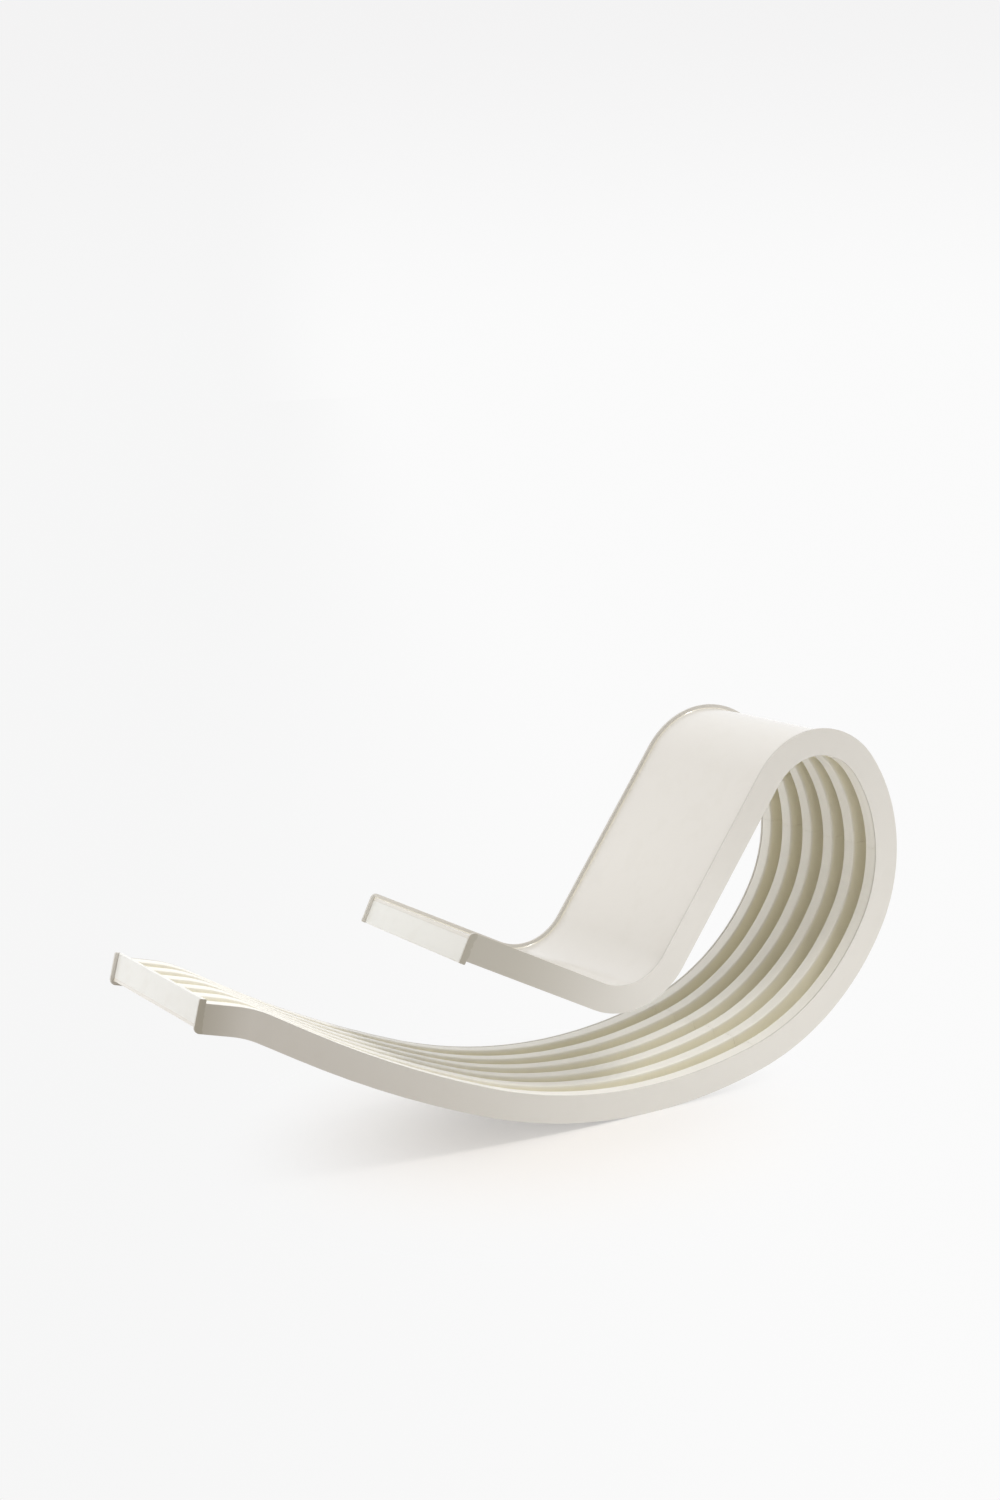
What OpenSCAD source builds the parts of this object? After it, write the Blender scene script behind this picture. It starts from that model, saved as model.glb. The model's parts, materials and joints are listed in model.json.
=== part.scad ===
// Rocking relaxation lounger made of one continuous ribbon.
// Six ribs follow the ribbon, a thin skin closes their outer side,
// two side cheeks cover the outer ribs, and a plate closes each end.
// X runs from the foot end to the back of the loop, Y across, Z up from the floor.

/* [Overall] */
// Width across both side cheeks
overall_w = 480; // [400:5:640]
// Height of the ribbon's side face, from its outer to its inner edge
ribbon_t = 67; // [60:1:90]

/* [Path of the ribbon's middle line] */
// Slope of the thigh rest, in degrees below level
seat_slope = 27.9; // [24:0.05:31]
// Length of the straight thigh rest
seat_len = 399; // [340:1:460]
// Radius of the hip bend
hip_r = 170; // [120:5:220]
// Turn of the hip bend, in degrees
hip_turn = 81.5; // [76:0.5:86]
// Length of the straight back rest
back_len = 498; // [420:1:560]
// Radius of the head bend
head_r = 180; // [140:5:220]
// Turn of the head bend, in degrees
head_turn = 109; // [104:0.5:114]
// Radius of the loop behind the back rest
loop_r = 385; // [350:5:430]
// Turn of that loop, in degrees
loop_turn = 64.5; // [60:0.5:70]
// Radius of the heel of the loop
heel_r = 590; // [520:5:650]
// Turn of the heel, in degrees
heel_turn = 45.5; // [42:0.5:50]
// Radius of the rocker that meets the floor
rocker_r = 1250; // [1100:10:1400]
// Turn of the rocker, in degrees
rocker_turn = 36; // [33:0.5:39]
// Radius of the long sweep in front of the rocker
sweep_r = 2950; // [2400:50:3500]
// Turn of that sweep, in degrees
sweep_turn = 10; // [6:0.5:13]
// Length of the straight rise to the foot rest
rise_len = 104; // [60:1:160]
// Radius of the bend into the foot rest
foot_r = 300; // [200:5:400]
// Turn of that bend, in degrees
foot_turn = 15.5; // [8:0.5:20]
// Length of the straight foot rest
foot_len = 90; // [60:1:160]

/* [Ribs] */
// Width of one rib
rib_w = 36; // [28:1:45]
// Radius along a rib's two inner edges
rib_edge_r = 3; // [1:0.5:6]

/* [Skin and side cheeks] */
// Thickness of the skin
skin_t = 8; // [5:0.5:12]
// Height of the cheeks' lip above the skin
lip_h = 10; // [5:0.5:14]
// Thickness of a side cheek
cheek_t = 5; // [4:0.5:8]
// Corner radius of a cheek beside the skin
cheek_corner_r = 14; // [6:1:20]
// Radius that rounds the skin's front edge
skin_nose_r = 6; // [2:0.5:7]
// Depth of the glue line between neighbouring pieces
glue_line = 0.3; // [0.2:0.1:0.5]

/* [End plates] */
// Thickness of an end plate
plate_t = 8; // [6:0.5:20]
// Distance from a cheek's end to the plate's face
plate_inset = 8.5; // [4:0.5:14]
// Height by which a plate stands past the ribs' inner edges
plate_drop = 9; // [5:0.5:14]
// Radius on the plate's free edge and on the cheek's corners there
plate_edge_r = 3; // [1:0.5:4]

/* [Hidden joints] */
// Thickness of a loose tenon
tenon_t = 10; // [8:1:12]
// Width of a loose tenon
tenon_w = 28; // [22:1:32]
// Length of a loose tenon
tenon_len = 50; // [36:1:60]
// Diameter of an end dowel
dowel_d = 8; // [6:1:10]
// Length of an end dowel
dowel_len = 30; // [24:1:44]
// Clearance of tenons and dowels in their holes, on each side
joint_gap = 0.15; // [0.1:0.05:0.3]

/* [Hidden] */
$fn = 96;

// Number of ribs across the width, as the nodes' names list them
rib_count = 6;

ivory = [0.90, 0.885, 0.845];
plate_white = [0.94, 0.935, 0.91];
rib_ivory = [0.90, 0.88, 0.82];
beech = [0.80, 0.66, 0.48];

// Stretches of the path: a turn in degrees, left turns positive, with its radius.
// A turn of zero is a straight, with its length.
path = [
  [0, seat_len],
  [hip_turn, hip_r],
  [0, back_len],
  [-head_turn, head_r],
  [-loop_turn, loop_r],
  [-heel_turn, heel_r],
  [-rocker_turn, rocker_r],
  [-sweep_turn, sweep_r],
  [0, rise_len],
  [foot_turn, foot_r],
  [0, foot_len]
];

// Length of one stretch along the middle line
function stretch_len(e) = e[0] == 0 ? e[1] : abs(e[0]) * PI * e[1] / 180;

// Centre of a turning stretch that starts at pose p
function turn_centre(p, e) = [
  p[0] - sign(e[0]) * e[1] * sin(p[2]),
  p[1] + sign(e[0]) * e[1] * cos(p[2])
];

// Heading after the length s of a stretch that starts at pose p
function heading_at(p, e, s) = e[0] == 0 ? p[2] : p[2] + sign(e[0]) * s * 180 / (PI * e[1]);

// Pose, as x, z and heading, after the length s of a stretch that starts at pose p
function pose_at(p, e, s) =
  let (h = heading_at(p, e, s))
  e[0] == 0
    ? [p[0] + s * cos(h), p[1] + s * sin(h), h]
    : let (c = turn_centre(p, e))
      [c[0] + sign(e[0]) * e[1] * sin(h), c[1] - sign(e[0]) * e[1] * cos(h), h];

// Start poses of all stretches from number i on, and the pose at the very end
function walk(i, p) =
  i == len(path) ? [p] : concat([p], walk(i + 1, pose_at(p, path[i], stretch_len(path[i]))));

// Sum of the lengths of the first n stretches
function length_before(n) = n == 0 ? 0 : length_before(n - 1) + stretch_len(path[n - 1]);

// Point beside a pose, at the distance off to its left
function beside(p, off) = [p[0] - off * sin(p[2]), p[1] + off * cos(p[2])];

half_t = ribbon_t / 2;
free_walk = walk(0, [0, 0, -seat_slope]);
path_len = length_before(len(path));

// Point at the distance d inwards from an end pose and the distance off to its left.
// The sign inwards is 1 at the path's start and -1 at its end.
function in_from_end(p, inwards, d, off) = [
  p[0] + inwards * d * cos(p[2]) - off * sin(p[2]),
  p[1] + inwards * d * sin(p[2]) + off * cos(p[2])
];

// Furthest reach of the cheeks in the direction a, for a path whose start lies at zero
function reach(a) =
  let (
    u = [cos(a), sin(a)],
    corners = [
      for (end = [[free_walk[0], 1], [free_walk[len(path)], -1]])
        each [
          in_from_end(end[0], end[1], cheek_corner_r, half_t - cheek_corner_r) * u + cheek_corner_r,
          in_from_end(end[0], end[1], plate_edge_r, plate_edge_r - half_t - plate_drop) * u + plate_edge_r
        ]
    ],
    seams = [for (i = [1 : len(path) - 1]) beside(free_walk[i], half_t) * u],
    tops = [
      for (i = [0 : len(path) - 1])
        let (p = free_walk[i], e = path[i], h0 = p[2], h1 = heading_at(p, e, stretch_len(e)))
        for (h = [a - 90, a - 450])
          if (e[0] < 0 && h < h0 && h > h1)
            turn_centre(p, e) * u + e[1] + half_t + proud_of(i)
    ]
  )
  max(concat(corners, seams, tops));

// The path is placed so that the lounger stands on Z = 0 with its length centred on X = 0
shift_x = (reach(180) - reach(0)) / 2;
shift_z = reach(270);
poses = [for (p = free_walk) [p[0] + shift_x, p[1] + shift_z, p[2]]];

// Distances of the pieces' faces from the middle line, to the outer side
skin_top = half_t - lip_h;
skin_bottom = skin_top - skin_t;
rib_top = skin_bottom - glue_line;
rib_depth = rib_top + half_t;

// Across the width
inner_w = overall_w - 2 * cheek_t - 2 * glue_line;
rib_pitch = (inner_w - rib_w) / (rib_count - 1);
function rib_y(i) = (i - (rib_count - 1) / 2) * rib_pitch;

// Joints of the rib segments and seams of the skin, as lengths along the path
end_depth = plate_inset + plate_t;
rib_start = end_depth + glue_line;
back_joint_share = 0.5;
loop_joint_share = 0.54;
heel_seam_share = 0.5;
back_joint = length_before(2) + back_len * back_joint_share;
loop_joint = length_before(4) + stretch_len(path[4]) * loop_joint_share;
heel_joint = length_before(6);
sweep_joint = length_before(7);
head_seam = length_before(4);
heel_seam = length_before(5) + stretch_len(path[5]) * heel_seam_share;

// Dowels stand at two heights in each rib end
dowel_pitch_share = 0.5;
dowel_pitch = rib_depth * dowel_pitch_share;
dowel_mid = (rib_top - half_t) / 2;
dowel_in_plate_share = 0.6;
dowel_in_plate = plate_t * dowel_in_plate_share;

// Reach of the wedges that cut an arc from a ring, as a share of the ring's radius
wedge_share = 1.3;
overrun = 2;

// Overlap by which the stretches of one solid run into each other,
// and the height by which every second stretch stands proud of its neighbours there
lap = 0.05;
proud = 0.03;
function proud_of(i) = i % 2 == 0 ? 0 : proud;

// Number of the stretch that holds the length s
function stretch_of(s, i = 0) =
  i == len(path) - 1 || s < length_before(i + 1) ? i : stretch_of(s, i + 1);

// Pose at the length s along the whole path
function pose_on_path(s) =
  let (i = stretch_of(s))
  pose_at(poses[i], path[i], s - length_before(i));

// Angle of the spoke from a turn's centre to the middle line where the heading is h
function spoke(e, h) = h - sign(e[0]) * 90;

// Side view of one stretch between the lengths s0 and s1 on it,
// from the distance low to the distance high on its left
module stretch_band(p, e, s0, s1, low, high) {
  if (e[0] == 0) {
    translate([p[0], p[1]])
      rotate(p[2])
        translate([s0, low])
          square([s1 - s0, high - low]);
  } else {
    side = sign(e[0]);
    r0 = e[1] - (side > 0 ? high : -low);
    r1 = e[1] - (side > 0 ? low : -high);
    a0 = spoke(e, heading_at(p, e, s0));
    a1 = spoke(e, heading_at(p, e, s1));
    far = r1 * wedge_share;
    translate(turn_centre(p, e))
      intersection() {
        difference() {
          circle(r1);
          circle(r0);
        }
        polygon([
          [0, 0],
          [far * cos(a0), far * sin(a0)],
          [far * cos((a0 + a1) / 2), far * sin((a0 + a1) / 2)],
          [far * cos(a1), far * sin(a1)]
        ]);
      }
  }
}

// Side view of the path between the lengths from and to
module band(from, to, low, high) {
  for (i = [0 : len(path) - 1]) {
    s0 = max(from - length_before(i), 0);
    s1 = min(to - length_before(i), stretch_len(path[i]) + lap);
    if (s1 > s0 + lap) stretch_band(poses[i], path[i], s0, s1, low - proud_of(i), high + proud_of(i));
  }
}

// A side view given thickness across the width, centred at y
module across(y, w) {
  translate([0, y + w / 2, 0])
    rotate([90, 0, 0])
      linear_extrude(w)
        children();
}

// Rib section carried along the path between the lengths from and to.
// Its first axis is the distance to the left of the path, its second runs across.
module along(from, to, y) {
  translate([0, y, 0])
    rotate([90, 0, 0])
      for (i = [0 : len(path) - 1]) {
        s0 = max(from - length_before(i), 0);
        s1 = min(to - length_before(i), stretch_len(path[i]) + lap);
        if (s1 > s0 + lap) along_stretch(poses[i], path[i], s0, s1) rib_section(proud_of(i));
      }
}

// Section carried along part of one stretch
module along_stretch(p, e, s0, s1) {
  if (e[0] == 0) {
    translate([p[0], p[1], 0])
      rotate([0, 0, p[2]])
        translate([s0, 0, 0])
          rotate([90, 0, 90])
            linear_extrude(s1 - s0)
              children();
  } else {
    c = turn_centre(p, e);
    a0 = spoke(e, heading_at(p, e, s0));
    a1 = spoke(e, heading_at(p, e, s1));
    translate([c[0], c[1], 0])
      rotate([0, 0, min(a0, a1)])
        rotate_extrude(angle = abs(a1 - a0))
          translate([e[1], 0])
            mirror([e[0] > 0 ? 1 : 0, 0])
              children();
  }
}

// Side view in the frame of an end: its first axis runs from the end into the ribbon
module at_seat_end() {
  translate([poses[0][0], poses[0][1]])
    rotate(poses[0][2])
      children();
}

module at_foot_end() {
  last = poses[len(path)];
  translate([last[0], last[1]])
    rotate(last[2])
      mirror([1, 0])
        children();
}

// What a convex corner loses when it is rounded, for material to the right of and below it
module corner_loss(r) {
  difference() {
    translate([-overrun, 0])
      square([r + overrun, r + overrun]);
    translate([r, 0])
      circle(r);
  }
}

// Section of a rib, with its two inner edges rounded, grown all round by the height more
module rib_section(more) {
  translate([rib_edge_r - half_t, -rib_w / 2 - more])
    square([rib_depth - rib_edge_r + more, rib_w + 2 * more]);
  translate([-half_t - more, rib_edge_r - rib_w / 2])
    square([rib_edge_r + more, rib_w - 2 * rib_edge_r]);
  for (side = [-1, 1])
    translate([rib_edge_r - half_t, side * (rib_w / 2 - rib_edge_r)])
      circle(rib_edge_r + more);
}

// Tenon, or with a gap its hole, across the rib joint at the length s
module tenon_at(s, y, gap) {
  p = pose_on_path(s);
  t = tenon_t / 2 + gap;
  w = tenon_w / 2 + gap;
  translate([0, y, 0])
    rotate([90, 0, 0])
      translate([p[0], p[1], 0])
        rotate([0, 0, p[2]])
          translate([-tenon_len / 2 - gap, 0, 0])
            rotate([90, 0, 90])
              translate([dowel_mid, 0, 0])
                linear_extrude(tenon_len + 2 * gap) {
                  square([2 * (w - t), 2 * t], center = true);
                  for (side = [-1, 1])
                    translate([side * (w - t), 0])
                      circle(t);
                }
}

// The two dowels of one rib at an end, or with a gap their holes, in the end's own frame
module end_dowels(y, gap) {
  translate([0, y, 0])
    for (side = [-1, 1])
      translate([end_depth - dowel_in_plate - gap, 0, dowel_mid + side * dowel_pitch / 2])
        rotate([0, 90, 0])
          cylinder(d = dowel_d + 2 * gap, h = dowel_len + 2 * gap);
}

// Puts a solid that is drawn in an end's own frame into its place
module solid_at_seat_end() {
  translate([poses[0][0], 0, poses[0][1]])
    rotate([0, -poses[0][2], 0])
      children();
}

module solid_at_foot_end() {
  last = poses[len(path)];
  translate([last[0], 0, last[1]])
    rotate([0, -last[2], 0])
      mirror([1, 0, 0])
        children();
}

// One segment of rib number i, between the lengths from and to
module rib_segment(i, from, to) {
  y = rib_y(i);
  color(rib_ivory)
    difference() {
      along(from, to, y);
      for (s = [back_joint, loop_joint, heel_joint, sweep_joint])
        if (s > from - overrun && s < to + overrun) tenon_at(s, y, joint_gap);
      if (from < rib_start + overrun) solid_at_seat_end() end_dowels(y, joint_gap);
      if (to > path_len - rib_start - overrun) solid_at_foot_end() end_dowels(y, joint_gap);
    }
}

// Segments meet with a glue line between them
module rib_seat(i) rib_segment(i, rib_start, back_joint - glue_line / 2);
module rib_head(i) rib_segment(i, back_joint + glue_line / 2, loop_joint - glue_line / 2);
module rib_loop(i) rib_segment(i, loop_joint + glue_line / 2, heel_joint - glue_line / 2);
module rib_rocker(i) rib_segment(i, heel_joint + glue_line / 2, sweep_joint - glue_line / 2);
module rib_foot(i) rib_segment(i, sweep_joint + glue_line / 2, path_len - rib_start);

// Outline of a cheek's end, which stands past the ribs to cover the end plate's edge
module cheek_end() {
  difference() {
    translate([0, -half_t - plate_drop])
      square([end_depth, ribbon_t + plate_drop]);
    translate([0, half_t - cheek_corner_r])
      corner_loss(cheek_corner_r);
    translate([0, plate_edge_r - half_t - plate_drop])
      mirror([0, 1])
        corner_loss(plate_edge_r);
    translate([end_depth, plate_edge_r - half_t - plate_drop])
      mirror([1, 0])
        mirror([0, 1])
          corner_loss(plate_edge_r);
  }
}

module cheek_outline() {
  band(end_depth - lap, path_len - end_depth + lap, -half_t, half_t);
  at_seat_end() cheek_end();
  at_foot_end() cheek_end();
}

module left_cheek() {
  color(ivory)
    across((cheek_t - overall_w) / 2, cheek_t)
      cheek_outline();
}

module right_cheek() {
  color(ivory)
    across((overall_w - cheek_t) / 2, cheek_t)
      cheek_outline();
}

// What the skin's front edge loses
module skin_nose_loss() {
  translate([plate_inset, skin_top - skin_nose_r])
    corner_loss(skin_nose_r);
}

module lounge_skin() {
  color(ivory)
    across(0, inner_w)
      difference() {
        band(plate_inset, head_seam - glue_line / 2, skin_bottom, skin_top);
        at_seat_end() skin_nose_loss();
      }
}

module loop_skin() {
  color(ivory)
    across(0, inner_w)
      band(head_seam + glue_line / 2, heel_seam - glue_line / 2, skin_bottom, skin_top);
}

module rocker_skin() {
  color(ivory)
    across(0, inner_w)
      difference() {
        band(heel_seam + glue_line / 2, path_len - plate_inset, skin_bottom, skin_top);
        at_foot_end() skin_nose_loss();
      }
}

// Plate in an end's own frame, drilled for the dowels of all ribs
module end_plate() {
  color(plate_white)
    difference() {
      translate([0, inner_w / 2, 0])
        rotate([90, 0, 0])
          linear_extrude(inner_w)
            difference() {
              translate([plate_inset, -half_t - plate_drop])
                square([plate_t, rib_top + half_t + plate_drop]);
              translate([plate_inset, plate_edge_r - half_t - plate_drop])
                mirror([0, 1])
                  corner_loss(plate_edge_r);
            }
      for (i = [0 : rib_count - 1]) end_dowels(rib_y(i), joint_gap);
    }
}

module seat_end_plate() {
  solid_at_seat_end() end_plate();
}

module foot_end_plate() {
  solid_at_foot_end() end_plate();
}

module joint_tenons(s) {
  color(beech)
    for (i = [0 : rib_count - 1]) tenon_at(s, rib_y(i), 0);
}

module all_end_dowels() {
  color(beech)
    for (i = [0 : rib_count - 1]) end_dowels(rib_y(i), 0);
}

left_cheek();
right_cheek();
lounge_skin();
loop_skin();
rocker_skin();
seat_end_plate();
foot_end_plate();
for (i = [0 : rib_count - 1]) {
  rib_seat(i);
  rib_head(i);
  rib_loop(i);
  rib_rocker(i);
  rib_foot(i);
}
joint_tenons(back_joint);  // back_tenons
joint_tenons(loop_joint);  // loop_tenons
joint_tenons(heel_joint);  // heel_tenons
joint_tenons(sweep_joint);  // sweep_tenons
solid_at_seat_end() all_end_dowels();  // seat_end_dowels
solid_at_foot_end() all_end_dowels();  // foot_end_dowels
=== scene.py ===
"""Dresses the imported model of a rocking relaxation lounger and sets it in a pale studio.

The lounger is one long ribbon. It starts at the free end of the thigh rest, turns up
through the hip bend into the back rest, goes over the head and down round the loop,
rolls along the floor as the rocking base and rises to the foot rest. Every piece of it
is grown along the same middle line: six ribs, a skin over their outer side, a cheek on
each side, and a plate that closes each end. All lengths are in metres.
"""

from __future__ import annotations

import json
import logging
import math
from collections.abc import Callable, Iterator
from dataclasses import dataclass, field
from enum import Enum

import bmesh
import bpy
from bmesh.types import BMEdge, BMesh, BMFace, BMVert
from mathutils import Matrix, Vector

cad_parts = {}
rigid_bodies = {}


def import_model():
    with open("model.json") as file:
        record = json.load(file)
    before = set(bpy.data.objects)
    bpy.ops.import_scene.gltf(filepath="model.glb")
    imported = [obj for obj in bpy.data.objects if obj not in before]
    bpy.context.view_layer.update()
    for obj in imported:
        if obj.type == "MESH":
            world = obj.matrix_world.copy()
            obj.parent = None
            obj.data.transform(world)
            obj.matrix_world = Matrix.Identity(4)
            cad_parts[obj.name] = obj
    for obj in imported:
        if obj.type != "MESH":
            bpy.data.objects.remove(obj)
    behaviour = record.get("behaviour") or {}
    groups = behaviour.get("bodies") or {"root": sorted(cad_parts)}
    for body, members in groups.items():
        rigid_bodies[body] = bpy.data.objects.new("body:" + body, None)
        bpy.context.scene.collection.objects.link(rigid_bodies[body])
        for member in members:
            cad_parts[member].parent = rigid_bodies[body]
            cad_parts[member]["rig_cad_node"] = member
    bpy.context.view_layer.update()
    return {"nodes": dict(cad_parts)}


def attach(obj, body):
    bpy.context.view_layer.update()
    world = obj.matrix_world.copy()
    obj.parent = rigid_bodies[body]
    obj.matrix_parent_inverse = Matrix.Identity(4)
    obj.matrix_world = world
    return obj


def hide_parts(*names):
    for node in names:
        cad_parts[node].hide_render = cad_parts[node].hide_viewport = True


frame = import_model()

LOG = logging.getLogger("lounger")
BODY = "root"
RGB = tuple[float, float, float]
Span = tuple[float, float]
Values = tuple[tuple[str, float], ...]
Socket = bpy.types.NodeSocket
Sockets = bpy.types.bpy_prop_collection

# Turns between two faces, in degrees: of a full rim, of a crease and of a square corner
RIM_TURN, CREASE_TURN, CORNER_TURN = 28.0, 38.0, 60.0

# Distances below which two places count as one
TINY, CLOSE, NEAR = 1e-6, 1e-5, 1e-4


# The middle line of the ribbon


@dataclass(frozen=True)
class Pose:
    """A place on the ribbon's middle line in the side view, with its heading in degrees."""

    x: float
    z: float
    heading: float

    def direction(self) -> Vector:
        """The unit vector along the path."""
        angle = math.radians(self.heading)
        return Vector((math.cos(angle), 0.0, math.sin(angle)))

    def left(self) -> Vector:
        """The unit vector to the left of the path, which is the outer side of the ribbon."""
        angle = math.radians(self.heading)
        return Vector((-math.sin(angle), 0.0, math.cos(angle)))

    def point(self, ahead: float, off: float, y: float) -> Vector:
        """The point ahead of this pose and off to its left, at a place Y across the width."""
        return Vector((self.x, y, self.z)) + self.direction() * ahead + self.left() * off

    def off(self, point: Vector) -> float:
        """How far a point lies to the left of the path."""
        return (point - self.point(0.0, 0.0, 0.0)).dot(self.left())

    def marks(self, point: Vector, off: float) -> bool:
        """Whether a point lies across the ribbon here, at a distance to the left."""
        ahead = (point - self.point(0.0, 0.0, 0.0)).dot(self.direction())
        return abs(ahead) < NEAR and abs(self.off(point) - off) < NEAR


@dataclass(frozen=True)
class Stretch:
    """One stretch of the path: an arc with a turn in degrees, or a straight without one."""

    turn: float
    size: float

    @property
    def length(self) -> float:
        """Length along the middle line."""
        return math.radians(abs(self.turn)) * self.size if self.turn else self.size

    def centre(self, start: Pose) -> Vector:
        """Centre of the arc that starts at a pose."""
        return start.point(0.0, math.copysign(self.size, self.turn), 0.0)

    def after(self, start: Pose, distance: float) -> Pose:
        """The pose at a distance along this stretch.

        Args:
            start: Pose at the stretch's start.
            distance: Distance along the middle line.

        Returns:
            The pose there.
        """
        if not self.turn:
            place = start.point(distance, 0.0, 0.0)
            return Pose(place.x, place.z, start.heading)
        side = math.copysign(1.0, self.turn)
        centre = self.centre(start)
        heading = start.heading + side * math.degrees(distance / self.size)
        turned = Pose(centre.x, centre.z, heading)
        place = turned.point(0.0, -side * self.size, 0.0)
        return Pose(place.x, place.z, heading)


@dataclass(frozen=True)
class Ribbon:
    """The whole middle line, from the thigh rest's free end to the foot rest's."""

    start: Pose = Pose(-0.291870, 0.502353, -27.9)
    stretches: tuple[Stretch, ...] = (
        Stretch(0.0, 0.399),
        Stretch(81.5, 0.170),
        Stretch(0.0, 0.498),
        Stretch(-109.0, 0.180),
        Stretch(-64.5, 0.385),
        Stretch(-45.5, 0.590),
        Stretch(-36.0, 1.250),
        Stretch(-10.0, 2.950),
        Stretch(0.0, 0.104),
        Stretch(15.5, 0.300),
        Stretch(0.0, 0.090),
    )
    half: float = 0.0335
    ring_turn: float = 1.5

    def walk(self) -> Iterator[tuple[Stretch, Pose, float]]:
        """Each stretch with the pose and the path length at its start."""
        pose, length = self.start, 0.0
        for stretch in self.stretches:
            yield stretch, pose, length
            pose = stretch.after(pose, stretch.length)
            length += stretch.length

    @property
    def length(self) -> float:
        """Length of the whole path."""
        return sum(stretch.length for stretch in self.stretches)

    def before(self, count: int) -> float:
        """Length of the first stretches, as many as the count says."""
        return sum(stretch.length for stretch in self.stretches[:count])

    def pose(self, at: float) -> Pose:
        """The pose at a length along the path."""
        found = self.start
        for stretch, start, before in self.walk():
            if at >= before:
                found = stretch.after(start, min(at - before, stretch.length))
        return found

    def parts(self, low: float, high: float) -> Iterator[tuple[Stretch, Pose, float]]:
        """The stretches between two lengths, cut to size.

        Args:
            low: Length along the path at which the first part starts.
            high: Length at which the last part ends.

        Yields:
            Each stretch, the pose where its part starts and the part's length.
        """
        for stretch, start, before in self.walk():
            first = max(low - before, 0.0)
            last = min(high - before, stretch.length)
            if last - first > TINY:
                yield stretch, stretch.after(start, first), last - first

    def place_of(self, point: Vector) -> tuple[float, float]:
        """Where a point lies against the path.

        Args:
            point: A point in the object's frame.

        Returns:
            The length along the path and the distance to its left.
        """
        best, found = math.inf, (0.0, 0.0)
        for number, (stretch, start, before) in enumerate(self.walk()):
            flat = Vector((point.x, 0.0, point.z))
            if stretch.turn:
                side = math.copysign(1.0, stretch.turn)
                spoke = flat - stretch.centre(start)
                angle = math.degrees(math.atan2(spoke.z, spoke.x)) + side * 90.0
                turned = (side * (angle - start.heading) + 180.0) % 360.0 - 180.0
                along = math.radians(turned) * stretch.size
                off = side * (stretch.size - spoke.length)
            else:
                step = flat - Vector((start.x, 0.0, start.z))
                along, off = step.dot(start.direction()), step.dot(start.left())
            first = number == 0
            final = number == len(self.stretches) - 1
            beyond = max(0.0 if first else -along, 0.0 if final else along - stretch.length, 0.0)
            score = beyond + abs(off)
            if score < best:
                best, found = score, (before + along, off)
        return found


# Mesh work


class Rounded(Enum):
    """What a bevel rounds."""

    EDGES = "EDGES"
    CORNERS = "VERTICES"


def only(kind: type, geometry: list) -> list:
    """The items of one kind among what an operator returned."""
    return [item for item in geometry if isinstance(item, kind)]


def add_object(name: str, data: bpy.types.ID) -> bpy.types.Object:
    """Adds an object with its data to the scene."""
    made = bpy.data.objects.new(name, data)
    bpy.context.scene.collection.objects.link(made)
    return made


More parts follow.
